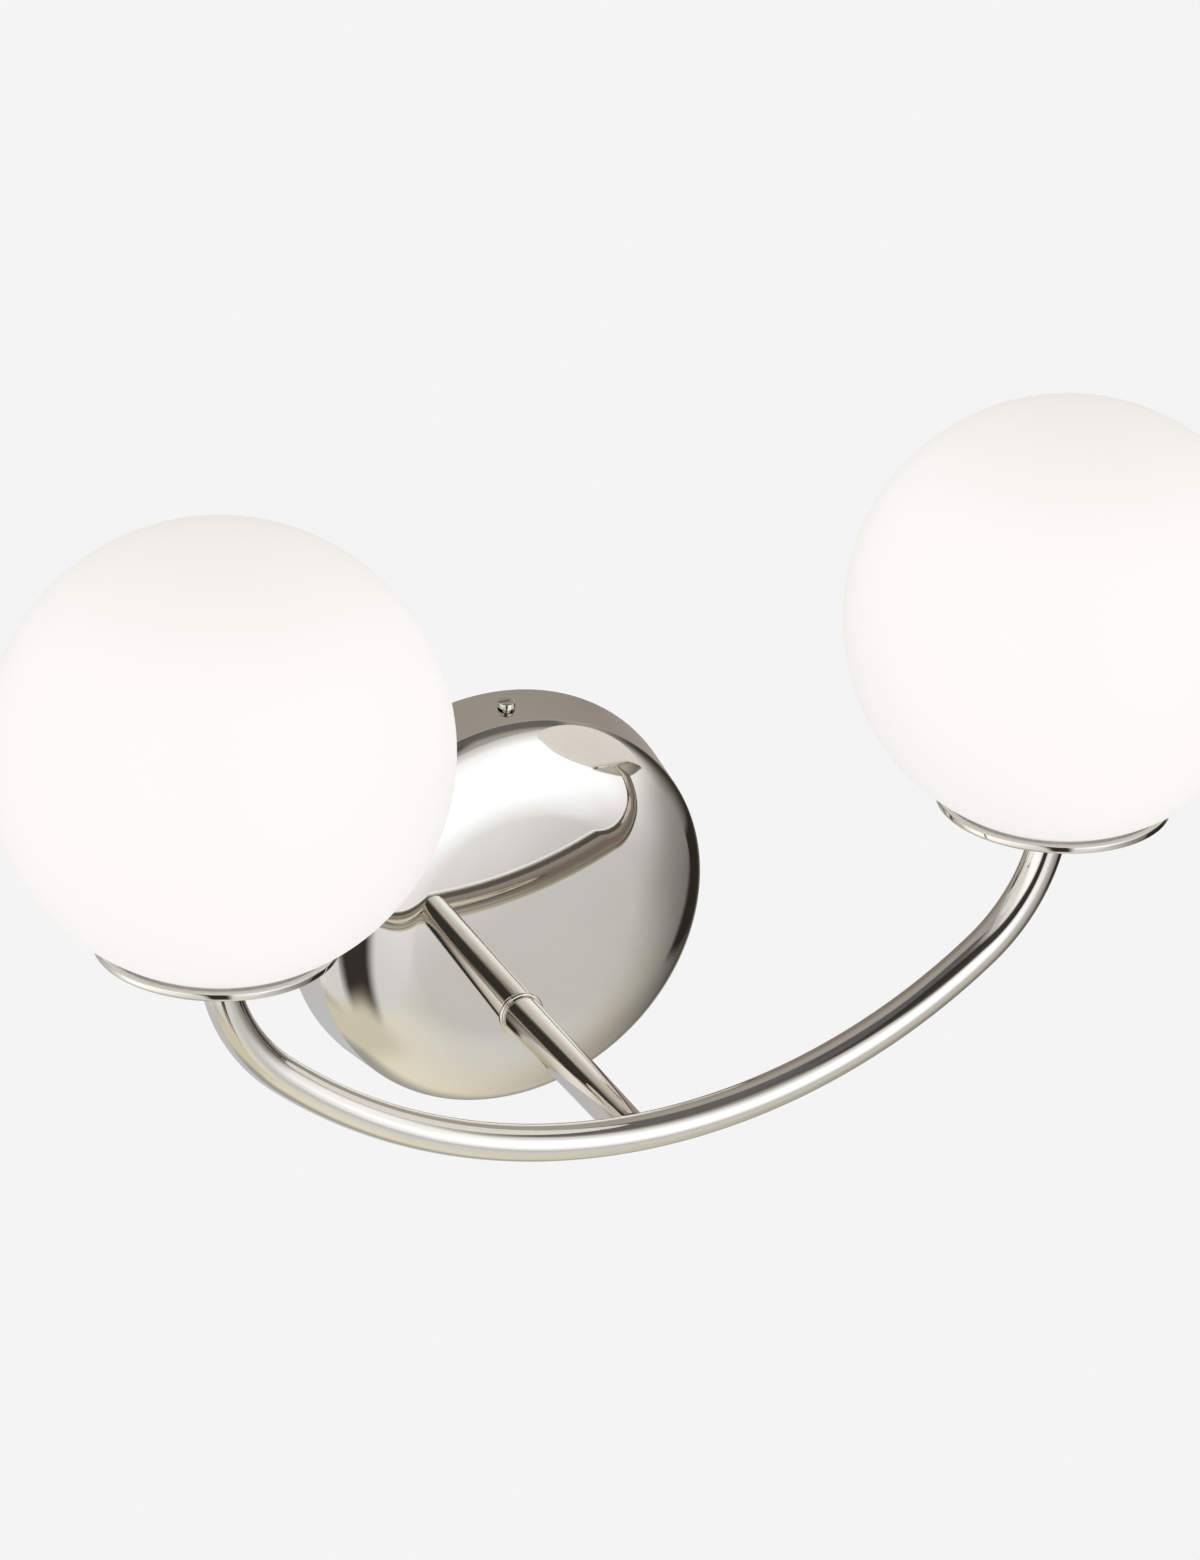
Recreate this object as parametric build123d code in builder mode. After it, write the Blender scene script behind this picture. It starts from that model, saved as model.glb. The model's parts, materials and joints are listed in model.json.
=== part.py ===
"""Two-globe vanity light: a domed canopy, a straight arm, a bowed tube and two opal globes in saucer cups."""

import os
from math import acos, asin, atan2, cos, degrees, pi, radians, sin, sqrt, tan

from build123d import *

os.makedirs("parts", exist_ok=True)

# Sizes are in millimetres. The origin is the canopy's centre on the wall: X runs along the wall,
# Y into the wall and Z up. A depth is a distance in front of the wall, so it lies along -Y.

# Bow, arm and their tube
globe_spacing = 304.8
bow_reach = 124.1
bow_drop = 34.1
bow_bottom_radius = 201.0
bow_end_radius = 66.0
tube_radius = 6.35
tube_wall = 1.5
tube_edge_round = 1.2
tee_lip = 0.45
braze_gap = 0.05

# Canopy
canopy_wall = 0.9
side_flare = 7.2
rim_round = 1.4
dome_edge_reach = 72.3
dome_edge_depth = 20.9
dome_edge_width = 5.6
dome_edge_radius = 18.0
dome_shoulder_width = 25.7
dome_shoulder_radius = 62.6
dome_crown_radius = 1305.0
arm_hole_clearance = 0.3

# Canopy screws, top and bottom
screw_depth = 10.6
screw_radius = 1.95
screw_length = 9.0
screw_head_radius = 3.1
screw_head_height = 2.0
screw_slot_width = 0.9
screw_slot_depth = 0.9
screw_hole_clearance = 0.35
thread_clearance = 0.05
screw_seat_gap = 0.1

# Wall bracket
strap_width = 16.0
strap_thickness = 2.0
strap_bend = 3.0
strap_fit = 0.25
tab_clearance = 6.0
box_screw_spacing = 86.0
box_slot_length = 14.0
box_slot_radius = 2.4

# Earth lead and its screw
ground_screw_z = 22.0
ground_screw_radius = 1.95
ground_head_radius = 4.0
ground_head_height = 2.2
ground_wire_radius = 1.1
ground_tag_thickness = 0.8
ground_tag_rim = 3.4
ground_tail = 5.0
ground_wire_bend = 6.0

# Threaded nipples, lock nuts and tooth washers
nipple_clearance = 0.15
nipple_wall = 1.4
nipple_grip = 4.0
nipple_proud = 2.0
nut_across_flats = 14.0
nut_thickness = 3.5
nut_chamfer = 0.6
tooth_washer_radius = 8.0
tooth_washer_thickness = 0.6
tooth_count = 10
tooth_gap = 1.6
tooth_length = 1.6

# Arm mounting
collar_step = 1.85
collar_lip = 0.9
collar_round = 0.7
saddle_radius = 9.0
saddle_lip = 0.8
hole_clearance = 0.2

# Cups
cup_seat_gap = 3.0
cup_rim_width = 2.5
cup_lip_height = 2.9
cup_lip_round = 1.3
cup_rim_round = 0.5
cup_rim_rise = 0.7
cup_floor_drop = 11.6
cup_crown = 1.6
cup_wall = 1.2
cup_tube_gap = 0.1

# Globes and what holds them
globe_radius = 75.0
globe_wall = 3.5
mouth_radius = 31.0
mouth_land = 3.5
seat_thickness = 1.0
seat_vent_radius = 3.0
seat_vent_circle = 20.0
seat_vents = 6
gasket_thickness = 1.8
spring_thickness = 0.5
spring_width = 8.0
spring_fingers = 3
spring_hub_radius = 11.0
spring_clearance = 0.3
spring_knee = 2.2
spring_knee_height = 7.0
spring_finger_height = 12.0
spring_bend = 1.2

# Lampholders
bracket_thickness = 1.0
bracket_width = 16.0
bracket_margin = 2.9
bracket_height = 16.0
bracket_flange = 7.0
bracket_bend = 1.5
holder_floor = 2.8
holder_skin = 0.8
holder_web = 1.4
holder_edge = 0.6
socket_length = 15.2
socket_width = 7.2
socket_depth = 7.0
holder_screw_radius = 1.4
holder_screw_head_radius = 2.4
holder_screw_head_height = 1.6
holder_screw_sink = 10.0
contact_thickness = 0.4
contact_width = 3.0
contact_height = 8.0
contact_gap = 0.35
contact_cell_clearance = 0.2

# Bulbs
bulb_pitch = 9.0
bulb_play = 0.4
bulb_base_height = 12.0
bulb_base_round = 1.0
pin_wire_radius = 0.45
pin_loop_width = 2.2
pin_length = 9.0
pin_end_clearance = 1.2
envelope_radius = 8.0
envelope_wall = 1.0
envelope_height = 44.0

# Lead wires and splice caps
lead_gap = 0.32
lead_part = 0.4
lead_hole_clearance = 0.3
lead_exit = 0.2
lead_bend = 3.0
tee_turn = 5.0
canopy_turn = 6.0
cap_mouth_x = 14.0
cap_length = 24.0
cap_mouth_radius = 6.2
cap_end_radius = 4.4
cap_fit = 0.3
cap_bore_depth = 16.0
lead_in_cap = 11.0

# Places that follow from the sizes above
globe_x = globe_spacing / 2
tube_bore = tube_radius - tube_wall
tee_hole_radius = tube_bore - tee_lip
bow_bottom_z = bow_bottom_radius - bow_drop
end_centre_x = globe_x - bow_end_radius
bow_end_z = bow_bottom_z - sqrt((bow_bottom_radius - bow_end_radius) ** 2 - end_centre_x**2)
knuckle_angle = degrees(atan2(end_centre_x, bow_bottom_z - bow_end_z))
bow_plane = Plane.XZ.offset(bow_reach)

shoulder_reach = dome_edge_reach - dome_edge_width
crown_reach = shoulder_reach - dome_shoulder_width
crown_tilt = asin(crown_reach / dome_crown_radius)
shoulder_tilt = asin(sin(crown_tilt) + dome_shoulder_width / dome_shoulder_radius)
edge_tilt = asin(sin(shoulder_tilt) + dome_edge_width / dome_edge_radius)
dome_apex = (
    dome_edge_depth
    + dome_crown_radius * (1 - cos(crown_tilt))
    + dome_shoulder_radius * (cos(crown_tilt) - cos(shoulder_tilt))
    + dome_edge_radius * (cos(shoulder_tilt) - cos(edge_tilt))
)
rim_tilt = pi / 2 - radians(side_flare)
tab_depth = dome_edge_depth - tab_clearance

nipple_radius = tube_bore - nipple_clearance
nipple_bore = nipple_radius - nipple_wall
lead_radius = (nipple_bore - lead_gap - sqrt(2) * lead_part) / (1 + sqrt(2))
lead_spread = lead_radius + lead_part
mouth_edge_radius = mouth_radius + mouth_land
cup_rim_inner = mouth_edge_radius + cup_seat_gap
cup_radius = cup_rim_inner + cup_rim_width
seat_top = bow_end_z + seat_thickness
mouth_z = seat_top + gasket_thickness
globe_z = mouth_z + sqrt(globe_radius**2 - mouth_edge_radius**2)
globe_inner = globe_radius - globe_wall
spring_top = seat_top + spring_thickness
bracket_top = spring_top + bracket_thickness
washer_top = bracket_top + tooth_washer_thickness
nut_top = washer_top + nut_thickness
nipple_top = nut_top + nipple_proud
holder_z = spring_top + bracket_height
pin_cell_floor = holder_z + holder_floor
socket_floor = pin_cell_floor + pin_end_clearance + pin_length
holder_top = socket_floor + socket_depth
holder_height = holder_top - holder_z
holder_screw_circle = socket_width / 2 + holder_web + holder_screw_head_radius + hole_clearance
holder_radius = holder_screw_circle + holder_screw_head_radius + hole_clearance + holder_skin
bracket_span = 2 * (holder_screw_circle + bracket_margin)
bulb_base_top = socket_floor + bulb_base_height


def dome_normal(tilt: float) -> Vector:
    """Outward normal of the dome in section, where its face leans by a tilt."""
    return Vector(sin(tilt), -cos(tilt))


# The dome's section: a nearly flat crown, a shoulder, an edge and the small round of the rim, each an
# arc with its centre, radius and the tilts it starts and ends at
crown_centre = Vector(0, dome_crown_radius - dome_apex)
shoulder_centre = crown_centre + dome_normal(crown_tilt) * (dome_crown_radius - dome_shoulder_radius)
edge_centre = shoulder_centre + dome_normal(shoulder_tilt) * (dome_shoulder_radius - dome_edge_radius)
rim_centre = edge_centre + dome_normal(edge_tilt) * (dome_edge_radius - rim_round)
dome_arcs = (
    (crown_centre, dome_crown_radius, 0, crown_tilt),
    (shoulder_centre, dome_shoulder_radius, crown_tilt, shoulder_tilt),
    (edge_centre, dome_edge_radius, shoulder_tilt, edge_tilt),
    (rim_centre, rim_round, edge_tilt, rim_tilt),
)
rim_end = rim_centre + dome_normal(rim_tilt) * rim_round
canopy_radius = rim_end.X - rim_end.Y * tan(radians(side_flare))
side_thickness = canopy_wall / cos(radians(side_flare))


def dome_depth(radius: float) -> float:
    """Depth of the dome's outer face at a distance from the canopy's axis."""
    reaches = (crown_reach, shoulder_reach, dome_edge_reach)
    centre, curve, _, _ = next(arc for arc, reach in zip(dome_arcs, reaches) if radius <= reach)
    return sqrt(curve**2 - (radius - centre.X) ** 2) - centre.Y


def side_reach(depth: float) -> float:
    """Distance of the side wall's outer face from the canopy's axis at a depth."""
    return canopy_radius - depth * tan(radians(side_flare))


screw_seat = side_reach(screw_depth - screw_head_radius) + screw_seat_gap
collar_radius = tube_radius + collar_step
collar_front = dome_depth(bow_drop - collar_radius) + collar_lip
saddle_back = dome_depth(bow_drop + saddle_radius) - canopy_wall - saddle_lip
arm_washer_back = saddle_back - tooth_washer_thickness
ground_tag_back = arm_washer_back - ground_tag_thickness
arm_nut_back = ground_tag_back - nut_thickness
arm_nipple_back = arm_nut_back - nipple_proud
cap_depth = arm_nipple_back - lead_exit - canopy_turn - lead_spread


def save(part: Part, name: str) -> None:
    """Label a finished piece and write its file."""
    part.label = name
    export_step(part, f"parts/{name}.step")


def bow_point(centre: tuple[float, float], radius: float, angle: float) -> Vector:
    """Point of an arc in the bow's plane, its angle counted from +X towards +Z."""
    turn = radians(angle)
    return Vector(centre[0] + radius * cos(turn), -bow_reach, centre[1] + radius * sin(turn))


# Bow tube: two end arcs that rise upright into the cups, joined by one wide arc
with BuildLine(bow_plane) as bow_line:
    CenterArc((-end_centre_x, bow_end_z), bow_end_radius, 180, 90 - knuckle_angle)
    CenterArc((0, bow_bottom_z), bow_bottom_radius, 270 - knuckle_angle, 2 * knuckle_angle)
    CenterArc((end_centre_x, bow_end_z), bow_end_radius, 270 + knuckle_angle, 90 - knuckle_angle)
bow_path = bow_line.wire()
bow_start = Plane(origin=bow_path @ 0, x_dir=(0, 1, 0), z_dir=bow_path % 0)

with BuildPart() as bow_tube:
    with BuildSketch(bow_start):
        Circle(tube_radius)
        Circle(tube_bore, mode=Mode.SUBTRACT)
    sweep(path=bow_path)
    with BuildSketch(bow_plane):
        with Locations((0, -bow_drop)):
            Circle(tee_hole_radius)
    extrude(amount=-2 * tube_radius, mode=Mode.SUBTRACT)
save(bow_tube.part, "bow_tube")


def bow_envelope(gap: float) -> Part:
    """Solid rod along the bow, larger than its tube by a gap, that cuts what fits round the tube."""
    with BuildPart() as rod:
        with BuildSketch(bow_start):
            Circle(tube_radius + gap)
        sweep(path=bow_path)
    return rod.part


def dome_curve(offset: float) -> Wire:
    """The dome's section from its crown round its rim, moved outwards by an offset."""
    with BuildLine() as curve:
        for centre, radius, start, end in dome_arcs:
            CenterArc(centre, radius + offset, degrees(start) - 90, degrees(end - start))
    return curve.wire()


def dome_body(offset: float) -> Part:
    """Solid between the wall and the dome moved outwards by an offset, that cuts what seats on it."""
    face = dome_curve(offset)
    with BuildPart() as body:
        with BuildSketch(Plane.XY):
            with BuildLine():
                add(face)
                Polyline(face @ 1, ((face @ 1).X, 0), (0, 0), face @ 0)
            make_face()
        revolve(axis=Axis.Y)
    return body.part


# Canopy: dome, rim and flared side wall, spun in one piece
dome_face = dome_curve(0)
dome_back = dome_curve(-canopy_wall)
with BuildPart() as canopy:
    with BuildSketch(Plane.XY):
        with BuildLine():
            add(dome_face)
            Polyline(dome_face @ 1, (canopy_radius, 0), (canopy_radius - side_thickness, 0), dome_back @ 1)
            add(dome_back)
            Line(dome_back @ 0, dome_face @ 0)
        make_face()
    revolve(axis=Axis.Y)
    with BuildSketch(Plane.XZ):
        with Locations((0, -bow_drop)):
            Circle(nipple_radius + arm_hole_clearance)
    extrude(amount=dome_apex, mode=Mode.SUBTRACT)
    with BuildSketch(Plane.XY):
        with Locations((0, -screw_depth)):
            Circle(screw_radius + screw_hole_clearance)
    extrude(amount=canopy_radius, both=True, mode=Mode.SUBTRACT)
save(canopy.part, "canopy")

# Canopy screw: slotted pan head, its shank through the side wall into the strap's tab
with BuildPart() as canopy_screw:
    with BuildSketch(Plane.XY.offset(screw_seat)):
        with Locations((0, -screw_depth)):
            Circle(screw_head_radius)
    extrude(amount=screw_head_height)
    fillet(canopy_screw.edges().sort_by(Axis.Z)[-1], 0.4 * screw_head_height)
    with BuildSketch(Plane.XY.offset(screw_seat)):
        with Locations((0, -screw_depth)):
            Circle(screw_radius)
    extrude(amount=-screw_length)
    with BuildSketch(Plane.XY.offset(screw_seat + screw_head_height)):
        with Locations((0, -screw_depth)):
            Rectangle(2.2 * screw_head_radius, screw_slot_width)
    extrude(amount=-screw_slot_depth, mode=Mode.SUBTRACT)
save(canopy_screw.part, "canopy_screw_top")
save(canopy_screw.part.mirror(Plane.XY), "canopy_screw_bottom")

# Mounting bracket: strap on the wall with a tab bent forward at each end
tab_outside = sqrt((side_reach(tab_depth) - side_thickness) ** 2 - (strap_width / 2) ** 2) - strap_fit
tab_z = tab_outside - strap_thickness / 2
with BuildPart() as mounting_bracket:
    with BuildSketch(Plane.YZ):
        with BuildLine():
            FilletPolyline(
                (-tab_depth, -tab_z),
                (-strap_thickness / 2, -tab_z),
                (-strap_thickness / 2, tab_z),
                (-tab_depth, tab_z),
                radius=strap_bend,
            )
        trace(line_width=strap_thickness)
    extrude(amount=strap_width / 2, both=True)
    with BuildSketch(Plane.XZ):
        with Locations((0, -box_screw_spacing / 2), (0, box_screw_spacing / 2)):
            SlotOverall(box_slot_length, 2 * box_slot_radius, rotation=90)
        with Locations((0, ground_screw_z)):
            Circle(ground_screw_radius + thread_clearance)
    extrude(amount=strap_thickness, mode=Mode.SUBTRACT)
    with BuildSketch(Plane.XY):
        with Locations((0, -screw_depth)):
            Circle(screw_radius + thread_clearance)
    extrude(amount=canopy_radius, both=True, mode=Mode.SUBTRACT)
save(mounting_bracket.part, "mounting_bracket")

# Earth lead: a wire from a ring tag on the arm's nipple to a ring tag under the earth screw
ground_tag_radius = nipple_radius + ground_tag_rim
ground_ring_radius = ground_screw_radius + ground_tag_rim
arm_tag_tail_z = ground_tag_radius + ground_tail - bow_drop
strap_tag_tail_z = ground_screw_z - ground_ring_radius - ground_tail
arm_wire_depth = ground_tag_back - ground_wire_radius / 2
strap_wire_depth = strap_thickness + ground_wire_radius + ground_tag_thickness / 4
with BuildPart() as ground_lead:
    with BuildLine(Plane.YZ) as ground_line:
        FilletPolyline(
            (-arm_wire_depth, arm_tag_tail_z - ground_tail / 2),
            (-arm_wire_depth, arm_tag_tail_z + ground_tail),
            (-strap_wire_depth, strap_tag_tail_z - ground_tail),
            (-strap_wire_depth, strap_tag_tail_z + ground_tail / 2),
            radius=ground_wire_bend,
        )
    ground_path = ground_line.wire()
    with BuildSketch(Plane(origin=ground_path @ 0, z_dir=ground_path % 0)):
        Circle(ground_wire_radius)
    sweep(path=ground_path)
    with BuildSketch(Plane.XZ.offset(ground_tag_back)):
        with Locations((0, -bow_drop)):
            Circle(ground_tag_radius)
        with Locations((0, arm_tag_tail_z - ground_tail / 2 - ground_tag_rim / 2)):
            Rectangle(2 * ground_wire_radius, ground_tail + ground_tag_rim)
        with Locations((0, -bow_drop)):
            Circle(nipple_radius + hole_clearance, mode=Mode.SUBTRACT)
    extrude(amount=ground_tag_thickness)
    with BuildSketch(Plane.XZ.offset(strap_thickness)):
        with Locations((0, ground_screw_z)):
            Circle(ground_ring_radius)
        with Locations((0, strap_tag_tail_z + ground_tail / 2 + ground_tag_rim / 2)):
            Rectangle(2 * ground_wire_radius, ground_tail + ground_tag_rim)
        with Locations((0, ground_screw_z)):
            Circle(ground_screw_radius + hole_clearance, mode=Mode.SUBTRACT)
    extrude(amount=ground_tag_thickness)
save(ground_lead.part, "ground_lead")

with BuildPart() as ground_screw:
    with BuildSketch(Plane.XZ.offset(strap_thickness + ground_tag_thickness)):
        with Locations((0, ground_screw_z)):
            RegularPolygon(ground_head_radius, 6)
    extrude(amount=ground_head_height)
    chamfer(ground_screw.faces().sort_by(Axis.Y)[0].edges(), ground_head_height / 6)
    with BuildSketch(Plane.XZ.offset(strap_thickness + ground_tag_thickness)):
        with Locations((0, ground_screw_z)):
            Circle(ground_screw_radius)
    extrude(amount=-strap_thickness - ground_tag_thickness)
save(ground_screw.part, "ground_screw")


def lock_nut(bottom: Plane) -> Part:
    """Thin hexagon nut standing on a plane."""
    with BuildPart() as nut:
        with BuildSketch(bottom):
            RegularPolygon(nut_across_flats / 2, 6, major_radius=False)
        extrude(amount=nut_thickness)
        chamfer(nut.faces().sort_by(SortBy.AREA)[-2:].edges(), nut_chamfer)
        with BuildSketch(bottom):
            Circle(nipple_radius + thread_clearance)
        extrude(amount=nut_thickness, mode=Mode.SUBTRACT)
    return nut.part


def tooth_washer(bottom: Plane) -> Part:
    """Flat washer with notches between its outer teeth, lying on a plane."""
    with BuildPart() as washer:
        with BuildSketch(bottom):
            Circle(tooth_washer_radius)
            Circle(nipple_radius + hole_clearance, mode=Mode.SUBTRACT)
            with PolarLocations(tooth_washer_radius, tooth_count):
                Rectangle(2 * tooth_length, tooth_gap, mode=Mode.SUBTRACT)
        extrude(amount=tooth_washer_thickness)
    return washer.part


def nipple(bottom: Plane, length: float) -> Part:
    """Hollow threaded tube standing on a plane, its bore open for the leads."""
    with BuildPart() as tube:
        with BuildSketch(bottom):
            Circle(nipple_radius)
            Circle(nipple_bore, mode=Mode.SUBTRACT)
        extrude(amount=length)
    return tube.part


def arm_plane(depth: float) -> Plane:
    """Plane across the arm's axis at a depth, facing the room."""
    return Plane(origin=(0, -depth, -bow_drop), x_dir=(1, 0, 0), z_dir=(0, -1, 0))


# Arm: collar on the dome, tube coped onto the bow, and the hardware behind the dome
with BuildPart() as arm_collar:
    with BuildSketch(arm_plane(collar_front)):
        Circle(collar_radius)
    extrude(amount=-collar_front)
    fillet(arm_collar.edges().sort_by(Axis.Y)[0], collar_round)
    with BuildSketch(arm_plane(collar_front)):
        Circle(nipple_radius + hole_clearance)
    extrude(amount=-collar_front, mode=Mode.SUBTRACT)
    add(dome_body(braze_gap), mode=Mode.SUBTRACT)
save(arm_collar.part, "arm_collar")

with BuildPart() as arm_tube:
    with BuildSketch(arm_plane(collar_front)):
        Circle(tube_radius)
    extrude(amount=bow_reach - collar_front)
    fillet(arm_tube.edges().sort_by(Axis.Y)[-1], tube_edge_round)
    with BuildSketch(arm_plane(collar_front)):
        Circle(tube_bore)
    extrude(amount=bow_reach - collar_front, mode=Mode.SUBTRACT)
    add(bow_envelope(braze_gap), mode=Mode.SUBTRACT)
save(arm_tube.part, "arm_tube")

with BuildPart() as arm_saddle_washer:
    with BuildSketch(arm_plane(saddle_back)):
        Circle(saddle_radius)
        Circle(nipple_radius + hole_clearance, mode=Mode.SUBTRACT)
    extrude(amount=dome_apex - saddle_back)
    add(dome_body(-canopy_wall - braze_gap), mode=Mode.INTERSECT)
save(arm_saddle_washer.part, "arm_saddle_washer")

arm_nipple_length = collar_front + nipple_grip - arm_nipple_back
save(nipple(arm_plane(arm_nipple_back), arm_nipple_length), "arm_nipple")
save(tooth_washer(arm_plane(arm_washer_back)), "arm_lock_washer")
save(lock_nut(arm_plane(arm_nut_back)), "arm_lock_nut")

# The pieces of one lamp head, on an upright axis through the origin

# Cup: a saucer with a thick lip, open where the bow's end comes through its floor
cup_rim_z = mouth_z + cup_rim_rise
cup_lip_z = cup_rim_z - cup_lip_height
cup_floor_z = bow_end_z - cup_floor_drop
with BuildPart() as cup_shell:
    with BuildSketch(Plane.XZ):
        with BuildLine():
            underside = SagittaArc((0, cup_floor_z), (cup_radius, cup_lip_z), -cup_crown)
            Polyline(
                (cup_radius, cup_lip_z),
                (cup_radius, cup_rim_z),
                (cup_rim_inner, cup_rim_z),
                (cup_rim_inner, cup_lip_z),
            )
            floor = SagittaArc((0, cup_floor_z + cup_wall), (cup_rim_inner, cup_lip_z), -cup_crown)
            Line(underside @ 0, floor @ 0)
        make_face()
    revolve(axis=Axis.Z)
    rings = cup_shell.edges().filter_by(GeomType.CIRCLE)
    rim_edges = rings.filter_by_position(Axis.Z, cup_rim_z - cup_rim_round, cup_rim_z + cup_rim_round)
    lip_edge = rings.filter_by_position(Axis.Z, cup_lip_z - cup_rim_round, cup_lip_z + cup_rim_round)
    fillet(lip_edge.sort_by(SortBy.RADIUS)[-1], cup_lip_round)
    fillet(rim_edges, cup_rim_round)

# Globe: blown ball with a ground flat round its mouth
mouth_edge_angle = degrees(acos(mouth_edge_radius / globe_radius))
mouth_angle = degrees(acos(mouth_radius / globe_inner))
with BuildPart() as globe:
    with BuildSketch(Plane.XZ):
        with BuildLine():
            globe_face = CenterArc((0, globe_z), globe_radius, -mouth_edge_angle, 90 + mouth_edge_angle)
            globe_back = CenterArc((0, globe_z), globe_inner, -mouth_angle, 90 + mouth_angle)
            Polyline(globe_face @ 0, (mouth_radius, mouth_z), globe_back @ 0)
            Line(globe_face @ 1, globe_back @ 1)
        make_face()
    revolve(axis=Axis.Z)

# Seat plate, gasket and three-finger spring under the globe's mouth
with BuildPart() as globe_seat:
    with BuildSketch(Plane.XY.offset(bow_end_z)):
        Circle(mouth_edge_radius)
        Circle(nipple_radius + hole_clearance, mode=Mode.SUBTRACT)
        with PolarLocations(seat_vent_circle, seat_vents, start_angle=180 / seat_vents):
            Circle(seat_vent_radius, mode=Mode.SUBTRACT)
    extrude(amount=seat_thickness)

with BuildPart() as globe_gasket:
    with BuildSketch(Plane.XY.offset(seat_top)):
        Circle(mouth_edge_radius)
        Circle(mouth_radius, mode=Mode.SUBTRACT)
    extrude(amount=gasket_thickness)

finger_reach = mouth_radius - spring_clearance - spring_thickness / 2
finger_foot = seat_top + spring_thickness / 2
with BuildPart() as globe_spring:
    with BuildSketch(Plane.XZ):
        with BuildLine():
            FilletPolyline(
                (nipple_radius + 2 * hole_clearance, finger_foot),
                (finger_reach - spring_knee, finger_foot),
                (finger_reach, finger_foot + spring_knee_height),
                (finger_reach - spring_knee, finger_foot + spring_finger_height),
                radius=spring_bend,
            )
        trace(line_width=spring_thickness)
    extrude(amount=spring_width / 2, both=True)
    finger = globe_spring.part
    with PolarLocations(0, spring_fingers):
        add(finger)
    with BuildSketch(Plane.XY.offset(seat_top)):
        Circle(spring_hub_radius)
    extrude(amount=spring_thickness)
    with BuildSketch(Plane.XY.offset(seat_top)):
        Circle(nipple_radius + hole_clearance)
    extrude(amount=spring_thickness, mode=Mode.SUBTRACT)

# Lampholder: folded bracket, ceramic body, its screws and its two spring contacts
with BuildPart() as lampholder_bracket:
    leg_y = (bracket_span - bracket_thickness) / 2
    foot_z = spring_top + bracket_thickness / 2
    flange_z = holder_z - bracket_thickness / 2
    with BuildSketch(Plane.YZ):
        with BuildLine():
            FilletPolyline(
                (bracket_flange - leg_y, flange_z),
                (-leg_y, flange_z),
                (-leg_y, foot_z),
                (leg_y, foot_z),
                (leg_y, flange_z),
                (leg_y - bracket_flange, flange_z),
                radius=bracket_bend,
            )
        trace(line_width=bracket_thickness)
    extrude(amount=bracket_width / 2, both=True)
    with BuildSketch(Plane.XY.offset(spring_top)):
        Circle(nipple_radius + hole_clearance)
    extrude(amount=bracket_thickness, mode=Mode.SUBTRACT)
    with BuildSketch(Plane.XY.offset(holder_z)):
        with Locations((0, -holder_screw_circle), (0, holder_screw_circle)):
            Circle(holder_screw_radius + thread_clearance)
    extrude(amount=-bracket_thickness, mode=Mode.SUBTRACT)

contact_half = pin_wire_radius + contact_gap + contact_thickness
pin_half_width = pin_loop_width / 2 + pin_wire_radius
cell_length = max(contact_width, 2 * pin_half_width) + 2 * contact_cell_clearance
cell_width = 2 * (contact_half + contact_cell_clearance)
pin_places = ((-bulb_pitch / 2, 0), (bulb_pitch / 2, 0))
with BuildPart() as lampholder_body:
    with BuildSketch(Plane.XY.offset(holder_z)):
        Circle(holder_radius)
    extrude(amount=holder_height)
    fillet(lampholder_body.edges().sort_by(Axis.Z)[-1], holder_edge)
    with BuildSketch(Plane.XY.offset(holder_top)):
        RectangleRounded(socket_length, socket_width, bulb_base_round + bulb_play)
    extrude(amount=-socket_depth, mode=Mode.SUBTRACT)
    with BuildSketch(Plane.XY.offset(socket_floor)):
        with Locations(*pin_places):
            Rectangle(cell_length, cell_width)
    extrude(amount=pin_cell_floor - socket_floor, mode=Mode.SUBTRACT)
    with BuildSketch(Plane.XY.offset(holder_z)):
        with Locations(*pin_places):
            Circle(lead_radius + lead_hole_clearance)
    extrude(amount=holder_floor, mode=Mode.SUBTRACT)
    with BuildSketch(Plane.XY.offset(holder_z)):
        with Locations((0, -holder_screw_circle), (0, holder_screw_circle)):
            Circle(holder_screw_radius + hole_clearance)
    extrude(amount=holder_height, mode=Mode.SUBTRACT)
    with BuildSketch(Plane.XY.offset(holder_top)):
        with Locations((0, -holder_screw_circle), (0, holder_screw_circle)):
            Circle(holder_screw_head_radius + hole_clearance)
    extrude(amount=-holder_screw_sink, mode=Mode.SUBTRACT)

with BuildPart() as lampholder_screws:
    screw_shoulder = holder_top - holder_screw_sink
    with BuildSketch(Plane.XY.offset(holder_z - bracket_thickness)):
        with Locations((0, -holder_screw_circle), (0, holder_screw_circle)):
            Circle(holder_screw_radius)
    extrude(amount=screw_shoulder - holder_z + bracket_thickness)
    with BuildSketch(Plane.XY.offset(screw_shoulder)):
        with Locations((0, -holder_screw_circle), (0, holder_screw_circle)):
            Circle(holder_screw_head_radius)
    extrude(amount=holder_screw_head_height)

with BuildPart() as lampholder_contacts:
    blade = contact_half - contact_thickness / 2
    with BuildSketch(Plane.YZ):
        with BuildLine():
            Polyline(
                (-blade, pin_cell_floor + contact_height),
                (-blade, pin_cell_floor + contact_thickness / 2),
                (blade, pin_cell_floor + contact_thickness / 2),
                (blade, pin_cell_floor + contact_height),
            )
        trace(line_width=contact_thickness)
    extrude(amount=contact_width / 2, both=True)
    clip = lampholder_contacts.part
with BuildPart() as lampholder_contacts:
    with Locations(*[(x, y, 0) for x, y in pin_places]):
        add(clip)

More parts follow.
